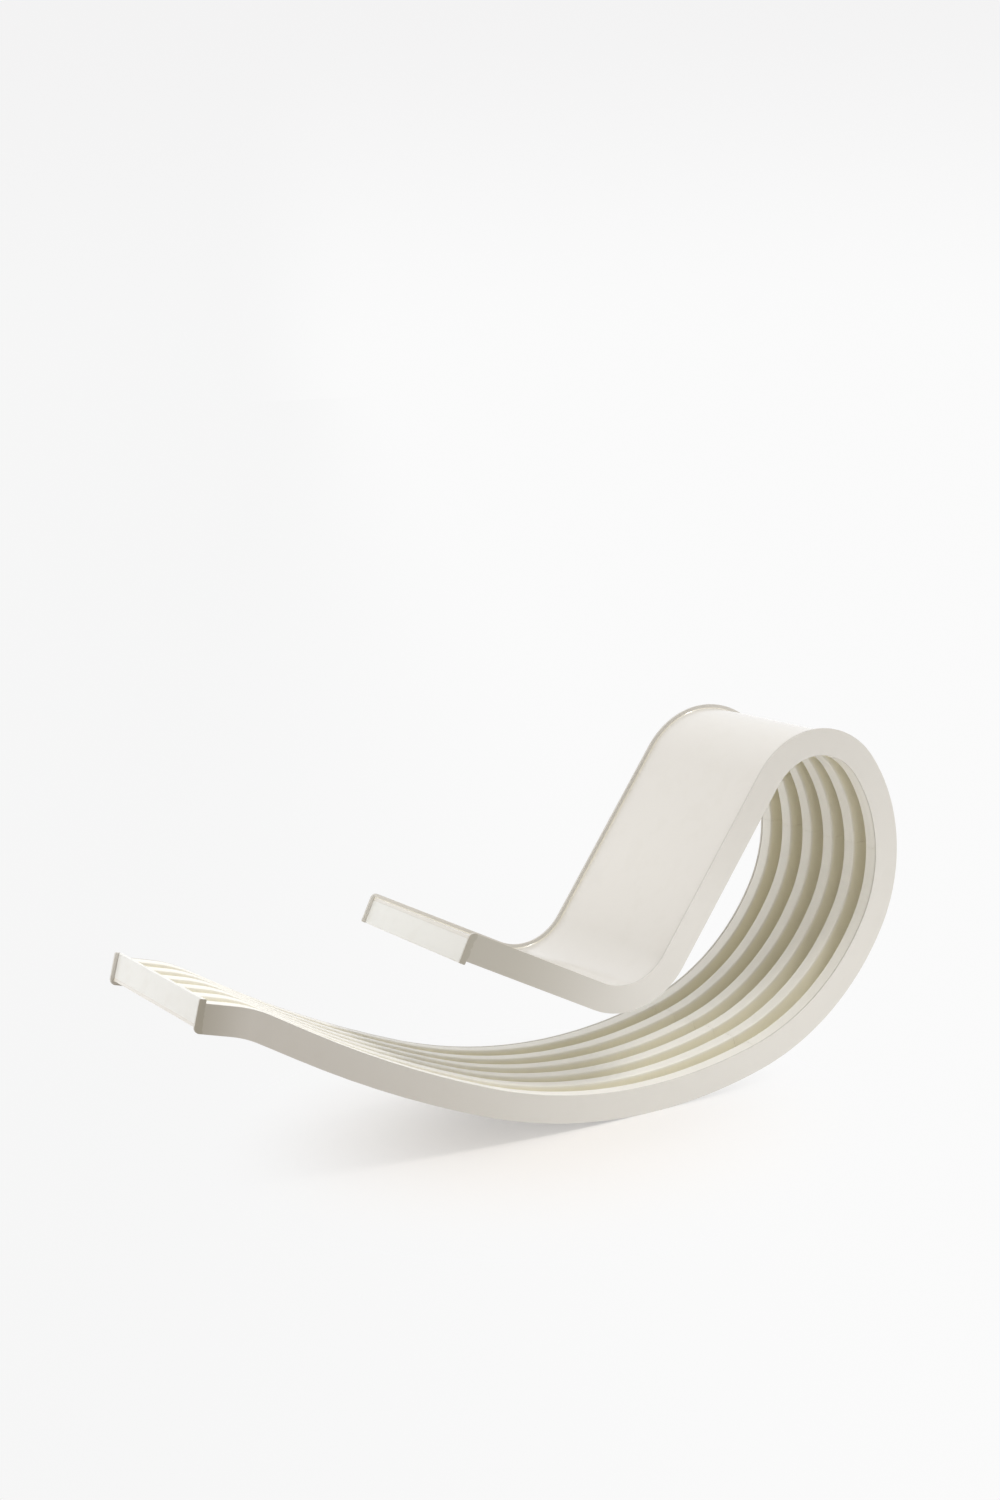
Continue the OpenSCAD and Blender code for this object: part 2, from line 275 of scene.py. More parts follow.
@dataclass
class RibbonMesh:
    """A mesh that grows along the ribbon."""

    ribbon: Ribbon
    bm: BMesh = field(default_factory=bmesh.new)

    def section(self, at: float, low: float, high: float, y: float, width: float) -> BMFace:
        """Starts with a flat section across the ribbon.

        Args:
            at: Length along the path.
            low: Distance of its lower edge to the left of the path.
            high: Distance of its upper edge.
            y: Place of its centre across the width.
            width: Its width.

        Returns:
            The section's face, which faces back along the path.
        """
        pose = self.ribbon.pose(at)
        matrix = Matrix.Identity(4)
        matrix.col[0][:3] = pose.left() * (high - low)
        matrix.col[1][:3] = (0.0, width, 0.0)
        matrix.col[2][:3] = -pose.direction()
        matrix.translation = pose.point(0.0, (low + high) / 2, y)
        made = bmesh.ops.create_grid(self.bm, x_segments=1, y_segments=1, size=0.5, matrix=matrix)
        return made["verts"][0].link_faces[0]

    def carry(self, edges: list[BMEdge], low: float, high: float) -> list[BMEdge]:
        """Carries edges along the path, leaving faces behind them.

        Args:
            edges: The edges at the start.
            low: Length along the path where they are.
            high: Length to which they go.

        Returns:
            The edges at the far end.
        """
        for stretch, pose, length in self.ribbon.parts(low, high):
            if stretch.turn:
                angle = math.copysign(length / stretch.size, stretch.turn)
                ends = dict.fromkeys(vert for edge in edges for vert in edge.verts)
                made = bmesh.ops.spin(
                    self.bm,
                    geom=edges + list(ends),
                    cent=stretch.centre(pose),
                    axis=(0.0, -1.0, 0.0),
                    dvec=(0.0, 0.0, 0.0),
                    angle=angle,
                    steps=max(1, math.ceil(math.degrees(abs(angle)) / self.ribbon.ring_turn)),
                    use_merge=False,
                    use_duplicate=False,
                )["geom_last"]
            else:
                made = bmesh.ops.extrude_edge_only(self.bm, edges=edges)["geom"]
                step = pose.direction() * length
                bmesh.ops.translate(self.bm, verts=only(BMVert, made), vec=step)
            edges = only(BMEdge, made)
        return edges

    def fill(self, low: float, high: float) -> None:
        """Grows the mesh's only face along the path and closes the far end.

        Args:
            low: Length along the path where the face is.
            high: Length where the piece ends.
        """
        ring = self.carry(list(self.bm.faces[:][0].edges), low, high)
        bmesh.ops.contextual_create(self.bm, geom=ring)
        self.face_outwards()

    def face_outwards(self) -> None:
        """Turns all faces outwards."""
        bmesh.ops.recalc_face_normals(self.bm, faces=self.bm.faces[:])

    def bevel(
        self, geometry: list, radius: float, segments: int, what: Rounded = Rounded.EDGES
    ) -> None:
        """Rounds edges, or the corners of a flat face.

        Args:
            geometry: The edges or the vertices.
            radius: The width of the rounding.
            segments: How many steps it gets.
            what: What is rounded.
        """
        bmesh.ops.bevel(
            self.bm,
            geom=geometry,
            offset=radius,
            offset_type="OFFSET",
            segments=segments,
            profile=0.5,
            affect=what.value,
            clamp_overlap=True,
            material=-1,
        )

    def square_edges(self, test: Callable[[Vector], bool]) -> list[BMEdge]:
        """The edges at square corners whose middles pass a test."""
        return [
            edge
            for edge in self.bm.edges
            if len(edge.link_faces) == 2
            and edge.calc_face_angle(0.0) > math.radians(CORNER_TURN)
            and test((edge.verts[0].co + edge.verts[1].co) / 2)
        ]

    def round_across(self, pose: Pose, off: float, radius: float, segments: int) -> None:
        """Rounds the square edge that crosses the ribbon at a pose, off to the left."""
        edges = self.square_edges(lambda middle: pose.marks(middle, off))
        self.bevel(edges, radius, segments)

    def finish(self, name: str) -> bpy.types.Object:
        """Turns the mesh into an object that knows its place along the ribbon.

        The vertices get two attributes: their length along the path with their place
        across it, and how near they lie to a rounded edge.

        Args:
            name: The object's name.

        Returns:
            The new object, linked to the scene.
        """
        self.face_outwards()
        path = self.bm.verts.layers.float_vector.new("along")
        rim = self.bm.verts.layers.float.new("rim")
        for vert in self.bm.verts:
            at, off = self.ribbon.place_of(vert.co)
            vert[path] = Vector((at, off, vert.co.y))
            folds = [edge for edge in vert.link_edges if len(edge.link_faces) == 2]
            turn = max((edge.calc_face_angle(0.0) for edge in folds), default=0.0)
            vert[rim] = min(1.0, turn / math.radians(RIM_TURN))
        mesh = bpy.data.meshes.new(name)
        self.bm.to_mesh(mesh)
        self.bm.free()
        mesh.shade_smooth()
        mesh.set_sharp_from_angle(angle=math.radians(CREASE_TURN))
        made = add_object(name, mesh)
        made.modifiers.new("face normals", "WEIGHTED_NORMAL").keep_sharp = True
        return made


# Finishes


@dataclass
class NodeKit:
    """Adds nodes to a tree and links them."""

    tree: bpy.types.NodeTree

    def add(self, kind: str, **settings: object) -> bpy.types.Node:
        """Adds a node.

        Args:
            kind: Blender's name of the node.
            **settings: Its settings, as for the set method.

        Returns:
            The node.
        """
        node = self.tree.nodes.new(kind)
        self.set(node, **settings)
        return node

    def set(self, node: bpy.types.Node, **settings: object) -> None:
        """Sets a node.

        Args:
            node: The node.
            **settings: Properties, and under their own names, inputs: numbers or sockets.
        """
        for name, value in settings.items():
            if hasattr(node, name):
                setattr(node, name, value)
            else:
                self.feed(value, node.inputs[name.replace("_", " ")])

    def link(self, source: Socket, target: Socket) -> None:
        """Links an output to an input."""
        self.tree.links.new(source, target)

    def feed(self, value: object, target: Socket) -> None:
        """Links a socket to an input, or writes a number to it."""
        if isinstance(value, Socket):
            self.link(value, target)
        else:
            target.default_value = value

    def math(self, operation: str, *values: object) -> Socket:
        """A Math node.

        Args:
            operation: What it does.
            *values: Its inputs, each a number or a socket.

        Returns:
            Its output.
        """
        node = self.add("ShaderNodeMath", operation=operation)
        for place, value in enumerate(values):
            self.feed(value, node.inputs[place])
        return node.outputs[0]

    def times(self, first: object, second: object) -> Socket:
        """The product of two values."""
        return self.math("MULTIPLY", first, second)

    def rest(self, share: Socket) -> Socket:
        """What a share leaves of one."""
        return self.math("SUBTRACT", 1.0, share)

    def mix(self, share: object, first: object, second: object) -> Socket:
        """Mixes two colours.

        Args:
            share: The second colour's share.
            first: A colour or a socket.
            second: A colour or a socket.

        Returns:
            The mixed colour.
        """
        node = self.add("ShaderNodeMix", data_type="RGBA")
        for value, place in ((share, 0), (first, 6), (second, 7)):
            self.feed((*value, 1.0) if isinstance(value, tuple) else value, node.inputs[place])
        return node.outputs[2]

    def mix_shaders(self, share: Socket, first: Socket, second: Socket, target: Socket) -> None:
        """Mixes two shaders.

        Args:
            share: The second shader's share.
            first: A shader.
            second: A shader.
            target: The input that gets the mixed shader.
        """
        node = self.add("ShaderNodeMixShader")
        for place, value in enumerate((share, first, second)):
            self.link(value, node.inputs[place])
        self.link(node.outputs[0], target)

    def between(self, value: object, low: float, high: float) -> Socket:
        """Moves a value from the range 0 to 1 to another one."""
        return self.add("ShaderNodeMapRange", Value=value, To_Min=low, To_Max=high).outputs[0]

    def within(self, value: object, low: float, high: float) -> Socket:
        """Turns the stretch of a value between two limits into 0 to 1."""
        settings = {"interpolation_type": "SMOOTHSTEP", "From_Min": low, "From_Max": high}
        return self.add("ShaderNodeMapRange", Value=value, **settings).outputs[0]

    def clamp(self, value: Socket) -> Socket:
        """Keeps a value between 0 and 1."""
        return self.add("ShaderNodeClamp", Value=value).outputs[0]

    def split(self, vector: Socket) -> tuple[Socket, ...]:
        """The three parts of a vector."""
        return tuple(self.add("ShaderNodeSeparateXYZ", Vector=vector).outputs)

    def draw_out(self, vector: Socket, share: Socket) -> Socket:
        """A vector with a smaller first part, which draws a pattern out along X.

        Args:
            vector: The vector.
            share: What is left of its first part.

        Returns:
            The new vector.
        """
        scale = self.add("ShaderNodeCombineXYZ", X=share, Y=1.0, Z=1.0)
        node = self.add("ShaderNodeVectorMath", operation="MULTIPLY")
        self.link(vector, node.inputs[0])
        self.link(scale.outputs[0], node.inputs[1])
        return node.outputs[0]

    def noise(self, vector: Socket, scale: object, detail: float, roughness: float) -> Socket:
        """A noise texture.

        Args:
            vector: Where it is read.
            scale: Its scale, a number or a socket.
            detail: Its detail.
            roughness: Its roughness.

        Returns:
            Its value.
        """
        settings = {"Scale": scale, "Detail": detail, "Roughness": roughness}
        return self.add("ShaderNodeTexNoise", Vector=vector, **settings).outputs[0]

    def bump(self, height: Socket, strength: float, distance: float) -> Socket:
        """The normal that a height gives."""
        settings = {"Strength": strength, "Distance": distance}
        return self.add("ShaderNodeBump", Height=height, **settings).outputs[0]


@dataclass(frozen=True)
class Effect:
    """A shader node group with a vector input, value inputs and one output."""

    name: str
    values: Values

    def wire(self, kit: NodeKit, given: Sockets) -> Socket:
        """Makes the output from the inputs.

        Args:
            kit: The group's kit.
            given: The group's inputs.

        Returns:
            What the output gets.
        """
        raise NotImplementedError

    def build(self) -> bpy.types.NodeTree:
        """Builds the group."""
        tree = bpy.data.node_groups.new(self.name, "ShaderNodeTree")
        face, kind = tree.interface, "NodeSocketFloat"
        face.new_socket("Vector", in_out="INPUT", socket_type="NodeSocketVector")
        for key, value in self.values:
            face.new_socket(key, in_out="INPUT", socket_type=kind).default_value = value
        face.new_socket("Value", in_out="OUTPUT", socket_type=kind)
        kit = NodeKit(tree)
        source, target = kit.add("NodeGroupInput"), kit.add("NodeGroupOutput")
        kit.link(self.wire(kit, source.outputs), target.inputs[0])
        return tree


@dataclass(frozen=True)
class Mottle(Effect):
    """Cloudy patches, drawn out along the ribbon, as hand sanding leaves them under lacquer."""

    name: str = "sanded_mottle"
    values: Values = (("Scale", 9.0), ("Draw", 0.35), ("Contrast", 1.0))
    fine_scale: float = 6.5
    fine_share: float = 0.2

    def wire(self, kit: NodeKit, given: Sockets) -> Socket:
        """A broad and a fine noise, with the contrast around their middle."""
        drawn = kit.draw_out(given["Vector"], given["Draw"])
        broad = kit.noise(drawn, given["Scale"], 3.0, 0.55)
        fine = kit.noise(drawn, kit.times(given["Scale"], self.fine_scale), 2.0, 0.5)
        broad = kit.times(broad, 1.0 - self.fine_share)
        both = kit.math("ADD", broad, kit.times(fine, self.fine_share))
        centred = kit.times(kit.math("SUBTRACT", both, 0.5), given["Contrast"])
        return kit.clamp(kit.math("ADD", centred, 0.5))


@dataclass(frozen=True)
class Film(Effect):
    """The fine waves of a sprayed film, with a longer wave of the body under it."""

    name: str = "sprayed_film"
    values: Values = (("Peel", 420.0), ("Wave", 14.0), ("Wave share", 0.6))

    def wire(self, kit: NodeKit, given: Sockets) -> Socket:
        """A fine and a long noise, mixed by the long one's share."""
        peel, wave = (kit.noise(given["Vector"], given[key], 1.5, 0.45) for key in ("Peel", "Wave"))
        share = given["Wave share"]
        small = kit.times(peel, kit.rest(share))
        return kit.math("ADD", small, kit.times(wave, share))


@dataclass(frozen=True)
class RubbedAndShadedEdges(Effect):
    """Darker along rounded edges: an even line of painted shade, with soft spots of wear in it."""

    name: str = "rubbed_and_shaded_edges"
    values: Values = (("Rim", 0.0), ("Scale", 22.0), ("Even", 0.3), ("Amount", 0.5))
    spot_span: Span = (0.42, 0.70)
    rim_span: Span = (0.35, 0.9)

    def wire(self, kit: NodeKit, given: Sockets) -> Socket:
        """The line and its spots, where the rim is."""
        noise = kit.noise(given["Vector"], given["Scale"], 2.0, 0.5)
        spots = kit.math("MAXIMUM", kit.within(noise, *self.spot_span), given["Even"])
        line = kit.times(spots, kit.within(given["Rim"], *self.rim_span))
        return kit.times(line, given["Amount"])


@dataclass(frozen=True)
class EndMarksAndShade(Effect):
    """Darker near either end of the ribbon: a grey band, and a soft fade that is painted shade."""

    name: str = "end_marks_and_shade"
    values: Values = (("Reach", 0.022), ("Soft", 0.004), ("Fade", 0.2), ("Amount", 0.3))
    path_length: float = Ribbon().length
    ragged_scale: float = 60.0
    raggedness: float = 4.0
    # Where the painted shade fades out, from the seat end and from the foot end
    seat_fade: Span = (0.60, 0.10)
    foot_fade: Span = (0.15, 0.0)

    def wire(self, kit: NodeKit, given: Sockets) -> Socket:
        """The band with its ragged edge and the fade, by the distance from the ends."""
        along = kit.split(given["Vector"])[0]
        left = kit.math("SUBTRACT", self.path_length, along)
        noise = kit.noise(given["Vector"], self.ragged_scale, 4.0, 0.5)
        ragged = kit.times(kit.math("SUBTRACT", noise, 0.5), given["Soft"])
        reach = kit.math("ADD", kit.times(ragged, self.raggedness), given["Reach"])
        within = kit.math("SUBTRACT", reach, kit.math("MINIMUM", along, left))
        band = kit.clamp(kit.math("DIVIDE", within, given["Soft"]))
        seat, foot = kit.within(along, *self.seat_fade), kit.within(left, *self.foot_fade)
        fade = kit.times(kit.math("MAXIMUM", seat, foot), given["Fade"])
        return kit.times(kit.math("MAXIMUM", band, fade), given["Amount"])


@dataclass(frozen=True)
class Grain(Effect):
    """Wood grain that runs along X, for the bare joinery."""

    name: str = "wood_grain"
    values: Values = (("Scale", 60.0), ("Draw", 0.06))

    def wire(self, kit: NodeKit, given: Sockets) -> Socket:
        """A distorted wave, drawn out."""
        drawn = kit.draw_out(given["Vector"], given["Draw"])
        settings = {"Scale": given["Scale"], "Distortion": 6.0, "Detail": 3.0}
        return kit.add("ShaderNodeTexWave", Vector=drawn, **settings).outputs["Fac"]


@dataclass
class Effects:
    """Places the effects that several finishes share, and builds each once."""

    groups: dict[str, bpy.types.NodeTree] = field(default_factory=dict)

    def place(self, kit: NodeKit, effect: Effect, vector: Socket, **values: object) -> Socket:
        """Places an effect in a material.

        Args:
            kit: The material's kit.
            effect: The effect.
            vector: Where the pattern is read.
            **values: The group's inputs, each a number or a socket.

        Returns:
            The group's output.
        """
        if effect.name not in self.groups:
            self.groups[effect.name] = effect.build()
        group = self.groups[effect.name]
        return kit.add("ShaderNodeGroup", node_tree=group, Vector=vector, **values).outputs[0]


def new_material(name: str) -> tuple[bpy.types.Material, NodeKit, bpy.types.Node]:
    """A new material, a kit for its tree, and its Principled BSDF."""
    made = bpy.data.materials.new(name)
    made.use_nodes = True
    return made, NodeKit(made.node_tree), made.node_tree.nodes["Principled BSDF"]


@dataclass(frozen=True)
class Lacquer:
    """A sprayed lacquer on a sanded body. Its spans say where a tone starts and is full."""

    name: str
    colour: RGB
    shade: RGB
    # Tone of the edge and end marks: wear, and also painted shade
    worn_and_shaded: RGB
    # Painted shade: a darker, yellower ivory for the grooves between ribs and the skin's corners
    groove_shade: RGB
    roughness: float
    coat: float
    coat_roughness: float
    # Where the painted groove shade starts and is full: off the path, and near the cheeks
    groove_shade_span: Span = (-1.0, -2.0)
    corner_shade_span: Span = (1.0, 2.0)
    outer_face_span: Span = (0.2390, 0.2399)
    contrast: float = 1.0
    # Darkness of the rounded edges: spots of wear, with an even line of painted shade
    edge_wear_and_shade: float = 0.2
    even: float = 0.3
    # Darkness of the ends: a grey band, and a fade of painted shade
    end_marks_and_shade_amount: float = 0.0
    fade: float = 0.75
    nose_reach: float = 0.035
    peel: float = 0.00001
    unevenness: float = 0.07
    worn_roughness: float = 0.2
    ior: float = 1.5

    def material(self, effects: Effects) -> bpy.types.Material:
        """Builds the material.

        Args:
            effects: The shared effects.

        Returns:
            The material, whose patterns follow the ribbon.
        """
        made, kit, shader = new_material(self.name)
        along = kit.add("ShaderNodeAttribute", attribute_name="along").outputs["Vector"]
        rim = kit.add("ShaderNodeAttribute", attribute_name="rim").outputs["Fac"]
        _, off, across = kit.split(along)
        aside = kit.math("ABSOLUTE", across)
        mottle = effects.place(kit, Mottle(), along, Contrast=self.contrast)
        # Edges: spots of wear, and an even line of painted shade along every rounded edge
        rubbed_and_shaded = effects.place(kit, RubbedAndShadedEdges(), along, Rim=rim, Even=self.even, Amount=self.edge_wear_and_shade)
        # Ends: a grey band, and a fade that paints the shade on the thigh rest and the foot rest
        end_marks_and_shade_mask = effects.place(kit, EndMarksAndShade(), along, Fade=self.fade, Amount=self.end_marks_and_shade_amount)
        end_marks_and_shade_mask = kit.times(end_marks_and_shade_mask, kit.within(aside, *self.outer_face_span))
        marked = kit.math("MAXIMUM", rubbed_and_shaded, end_marks_and_shade_mask)
        end = effects.place(kit, EndMarksAndShade(), along, Reach=self.nose_reach, Fade=0.0, Amount=1.0)
        # Painted shade: the groove tone on the skin's underside, the ribs' deep sides and the
        # corners
        depth = kit.times(kit.within(off, *self.groove_shade_span), kit.rest(end))
        depth = kit.math("MAXIMUM", depth, kit.within(aside, *self.corner_shade_span))
        sprayed = kit.mix(depth, kit.mix(mottle, self.colour, self.shade), self.groove_shade)
        low, high = (self.roughness * (1.0 + way * self.unevenness) for way in (-1, 1))
        worn_and_shaded = kit.times(marked, self.worn_roughness)
        kit.set(
            shader,
            Base_Color=kit.mix(marked, sprayed, self.worn_and_shaded),
            Roughness=kit.math("ADD", kit.between(mottle, low, high), worn_and_shaded),
            Normal=kit.bump(effects.place(kit, Film(), along), 1.0, self.peel),
            Coat_Weight=self.coat,
            Coat_Roughness=self.coat_roughness,
            IOR=self.ior,
        )
        return made


@dataclass(frozen=True)
class BareWood:
    """Unfinished beech, as the hidden tenons and dowels are."""

    name: str
    pale: RGB
    dark: RGB
    roughness: float
    unevenness: float = 0.1
    grain_strength: float = 0.5
    grain_depth: float = 0.0001

    def material(self, effects: Effects) -> bpy.types.Material:
        """Builds the material.

        Args:
            effects: The shared effects.

        Returns:
            The material, whose grain runs along X.
        """
        made, kit, shader = new_material(self.name)
        place = kit.add("ShaderNodeTexCoord").outputs["Object"]
        grain = effects.place(kit, Grain(), place)
        low, high = (self.roughness * (1.0 + way * self.unevenness) for way in (-1, 1))
        kit.set(
            shader,
            Base_Color=kit.mix(grain, self.pale, self.dark),
            Roughness=kit.between(grain, low, high),
            Normal=kit.bump(grain, self.grain_strength, self.grain_depth),
        )
        return made


class Finish(Enum):
    """The finishes of the lounger."""

    # Painted shade: the cheeks' ivory is set darker than the skin's, for the side faces' shade
    CHEEK = Lacquer(
        "cheek_ivory",
        colour=(0.69, 0.663, 0.612), shade=(0.665, 0.635, 0.58),
        worn_and_shaded=(0.42, 0.39, 0.32), groove_shade=(0.78, 0.745, 0.66),
        roughness=0.34, coat=0.25, coat_roughness=0.22,
        edge_wear_and_shade=0.2, even=0.5, end_marks_and_shade_amount=1.0,
    )
    SKIN = Lacquer(
        "skin_ivory",
        colour=(0.835, 0.803, 0.747), shade=(0.825, 0.791, 0.732),
        worn_and_shaded=(0.72, 0.68, 0.60), groove_shade=(0.82, 0.77, 0.62),
        roughness=0.22, coat=0.6, coat_roughness=0.07,
        groove_shade_span=(0.0215, 0.0175), corner_shade_span=(0.226, 0.238),
        contrast=0.5, edge_wear_and_shade=0.12, peel=0.0000012,
    )
    # Painted light: the ribs' ivory is set lighter than the skin's, for the light on the ribs
    RIB = Lacquer(
        "rib_ivory",
        colour=(0.90, 0.875, 0.815), shade=(0.885, 0.858, 0.79),
        worn_and_shaded=(0.74, 0.70, 0.59), groove_shade=(0.895, 0.855, 0.705),
        roughness=0.38, coat=0.15, coat_roughness=0.25,
        groove_shade_span=(-0.0325, -0.022),
        edge_wear_and_shade=0.15,
    )
    PLATE = Lacquer(
        "plate_white",
        colour=(0.87, 0.865, 0.83), shade=(0.86, 0.855, 0.815),
        worn_and_shaded=(0.74, 0.715, 0.65), groove_shade=(0.86, 0.85, 0.80),
        roughness=0.30, coat=0.3, coat_roughness=0.15,
        edge_wear_and_shade=0.2,
    )
    JOINERY = BareWood("beech", (0.62, 0.43, 0.25), (0.48, 0.31, 0.17), 0.6)


@dataclass
class Finishes:
    """Builds each finish once and puts it on pieces."""

    effects: Effects = field(default_factory=Effects)
    made: dict[Finish, bpy.types.Material] = field(default_factory=dict)

    def dress(self, piece: bpy.types.Object, finish: Finish) -> None:
        """Gives a piece its finish.

        Args:
            piece: The piece.
            finish: Its finish.
        """
        if finish not in self.made:
            self.made[finish] = finish.value.material(self.effects)
        piece.data.materials.clear()
        piece.data.materials.append(self.made[finish])


# The pieces


@dataclass
class Assembly:
    """What all sub-assemblies share: the ribbon and the common sizes."""

    ribbon: Ribbon
    finishes: Finishes
    overall_width: float = 0.480
    cheek_thickness: float = 0.005
    glue_line: float = 0.0003
    skin_thickness: float = 0.008
    lip: float = 0.010
    plate_thickness: float = 0.008
    plate_inset: float = 0.0085
    plate_drop: float = 0.009

    @property
    def inner_width(self) -> float:
        """Width between the cheeks, less the glue lines."""
        return self.overall_width - 2 * (self.cheek_thickness + self.glue_line)

    @property
    def end_depth(self) -> float:
        """Distance from a cheek's end to the inner face of the plate."""
        return self.plate_inset + self.plate_thickness

    @property
    def skin_top(self) -> float:
        """Distance of the skin's face from the middle line."""
        return self.ribbon.half - self.lip

    @property
    def skin_bottom(self) -> float:
        """Distance of the skin's underside from the middle line."""
        return self.skin_top - self.skin_thickness

    @property
    def rib_top(self) -> float:
        """Distance of the ribs' outer edge from the middle line."""
        return self.skin_bottom - self.glue_line

    def install(self, piece: bpy.types.Object, finish: Finish, *nodes: str) -> None:
        """Puts a finished piece on the lounger.

        Args:
            piece: The piece.
            finish: Its finish.
            *nodes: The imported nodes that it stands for.
        """
        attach(piece, BODY)
        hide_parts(*nodes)
        self.finishes.dress(piece, finish)
        count = len(piece.data.polygons)
        LOG.info("%s: %d faces, stands for %s", piece.name, count, ", ".join(nodes))


@dataclass
class Cheeks(Assembly):
    """The two thin side faces that cover the outer ribs and stand past the skin as a lip."""

    outer_corner: float = 0.014
    inner_corner: float = 0.003
    rim_radius: float = 0.0012

    def end_block(self, grown: RibbonMesh, edge: BMEdge, at_start: bool, y: float) -> None:
        """Adds the flat end of a cheek, which also covers the plate's edge.

        Args:
            grown: The mesh.
            edge: The edge across the ribbon to which it joins.
            at_start: Whether it is the end at the start of the path.
            y: Place of the flat face across the width.
        """
        pose = self.ribbon.pose(0.0 if at_start else self.ribbon.length)
        depth = self.end_depth if at_start else -self.end_depth
        low = -self.ribbon.half - self.plate_drop
        upper, lower = sorted(edge.verts, key=lambda vert: -pose.off(vert.co))
        outline = (depth, low), (0.0, low), (0.0, self.ribbon.half)
        tab, toe, nose = (grown.bm.verts.new(pose.point(*place, y)) for place in outline)
        grown.bm.faces.new((upper, lower, tab, toe, nose))
        grown.bevel([nose], self.outer_corner, segments=10, what=Rounded.CORNERS)
        for corner in (toe, tab):
            grown.bevel([corner], self.inner_corner, segments=4, what=Rounded.CORNERS)

    def build_one(self, name: str, outer_y: float, inwards: float) -> bpy.types.Object:
        """Builds one cheek.

        Args:
            name: The piece's name.
            outer_y: Place of its outer face across the width.
            inwards: Sign of the way to its inner face.

        Returns:
            The piece.
        """
        grown = RibbonMesh(self.ribbon)
        low, high = self.end_depth, self.ribbon.length - self.end_depth
        pose, half = self.ribbon.pose(low), self.ribbon.half
        ends = [grown.bm.verts.new(pose.point(0.0, off, outer_y)) for off in (half, -half)]
        first = grown.bm.edges.new(ends)
        last = grown.carry([first], low, high)[0]
        self.end_block(grown, first, True, outer_y)
        self.end_block(grown, last, False, outer_y)
        grown.face_outwards()
        flat = grown.bm.faces[:]
        raised = bmesh.ops.extrude_face_region(grown.bm, geom=flat, use_keep_orig=True)["geom"]
        thickness = Vector((0.0, inwards * self.cheek_thickness, 0.0))
        bmesh.ops.translate(grown.bm, verts=only(BMVert, raised), vec=thickness)
        grown.face_outwards()
        rim = [
            edge
            for edge in grown.square_edges(lambda middle: True)
            if abs(edge.verts[0].co.y - edge.verts[1].co.y) < TINY
        ]
        grown.bevel(rim, self.rim_radius, segments=3)
        return grown.finish(name)

    def build(self) -> None:
        """Builds both cheeks."""
        half = self.overall_width / 2
        for side, outer_y, inwards in (("left", -half, 1.0), ("right", half, -1.0)):
            piece = self.build_one(side + "_cheek_face", outer_y, inwards)
            self.install(piece, Finish.CHEEK, side + "_cheek")


@dataclass
class Skins(Assembly):
    """The three lengths of thin skin that close the ribs' outer side."""

    nose_radius: float = 0.006
    seam_radius: float = 0.0004
    side_fill: float = 0.0016
    heel_seam_share: float = 0.5

    @property
    def width(self) -> float:
        """Width of a skin, which almost touches the cheeks."""
        return self.overall_width - 2 * self.cheek_thickness - self.glue_line / 4

    @property
    def seams(self) -> Span:
        """Lengths along the path of the two seams."""
        heel = self.ribbon.stretches[5].length
        return self.ribbon.before(4), self.ribbon.before(5) + heel * self.heel_seam_share

    def build_one(
        self, name: str, low: float, high: float, noses: tuple[bool, bool]
    ) -> bpy.types.Object:
        """Builds one length of skin.

        Its sides rise a little into the corner at each cheek, where filler and lacquer
        collect.

        Args:
            name: The piece's name.
            low: Length along the path where it starts.
            high: Length where it ends.
            noses: Whether its first and last edges are rounded free edges.

        Returns:
            The piece.
        """
        grown, pose, top = RibbonMesh(self.ribbon), self.ribbon.pose(low), self.skin_top
        face = grown.section(low, self.skin_bottom, top, 0.0, self.width)
        corners = [vert for vert in face.verts if pose.off(vert.co) > top - CLOSE]
        grown.bevel(corners, self.side_fill, segments=1, what=Rounded.CORNERS)
        rise = 2 * self.side_fill
        sides = [
            vert
            for vert in grown.bm.verts
            if abs(vert.co.y) > self.width / 2 - CLOSE and pose.off(vert.co) > top - rise
        ]
        bmesh.ops.translate(grown.bm, verts=sides, vec=pose.left() * rise)
        grown.fill(low, high)
        for at, is_nose in zip((low, high), noses):
            radius, segments = (self.nose_radius, 6) if is_nose else (self.seam_radius, 2)
            grown.round_across(self.ribbon.pose(at), top, radius, segments)
        return grown.finish(name)

    def build(self) -> None:
        """Builds the three skins."""
        head, heel = self.seams
        gap = self.glue_line / 2
        last = self.ribbon.length - self.plate_inset
        for name, low, high, noses in (
            ("lounge_skin", self.plate_inset, head - gap, (True, False)),
            ("loop_skin", head + gap, heel - gap, (False, False)),
            ("rocker_skin", heel + gap, last, (False, True)),
        ):
            self.install(self.build_one(name + "_face", low, high, noses), Finish.SKIN, name)


@dataclass
class EndPlates(Assembly):
    """The plates that close the ribbon's two ends."""

    nose_radius: float = 0.003
    edge_radius: float = 0.0008
    top_margin: float = 0.001

    def build_one(self, name: str, at_start: bool) -> bpy.types.Object:
        """Builds one plate, whose joint with the skin is filled and lacquered over.

        Args:
            name: The piece's name.
            at_start: Whether it closes the end at the start of the path.

        Returns:
            The piece.
        """
        grown = RibbonMesh(self.ribbon)
        at = self.plate_inset if at_start else self.ribbon.length - self.end_depth
        low = -self.ribbon.half - self.plate_drop
        high = self.skin_bottom + self.glue_line
        grown.section(at, low, high, 0.0, self.inner_width)
        grown.fill(at, at + self.plate_thickness)
        free = self.ribbon.pose(at if at_start else at + self.plate_thickness)
        grown.round_across(free, low, self.nose_radius, segments=5)
        below = grown.square_edges(lambda middle: free.off(middle) < high - self.top_margin)
        grown.bevel(below, self.edge_radius, segments=2)
        return grown.finish(name)

    def build(self) -> None:
        """Builds both plates."""
        for name, at_start in (("seat_end_plate", True), ("foot_end_plate", False)):
            self.install(self.build_one(name + "_face", at_start), Finish.PLATE, name)


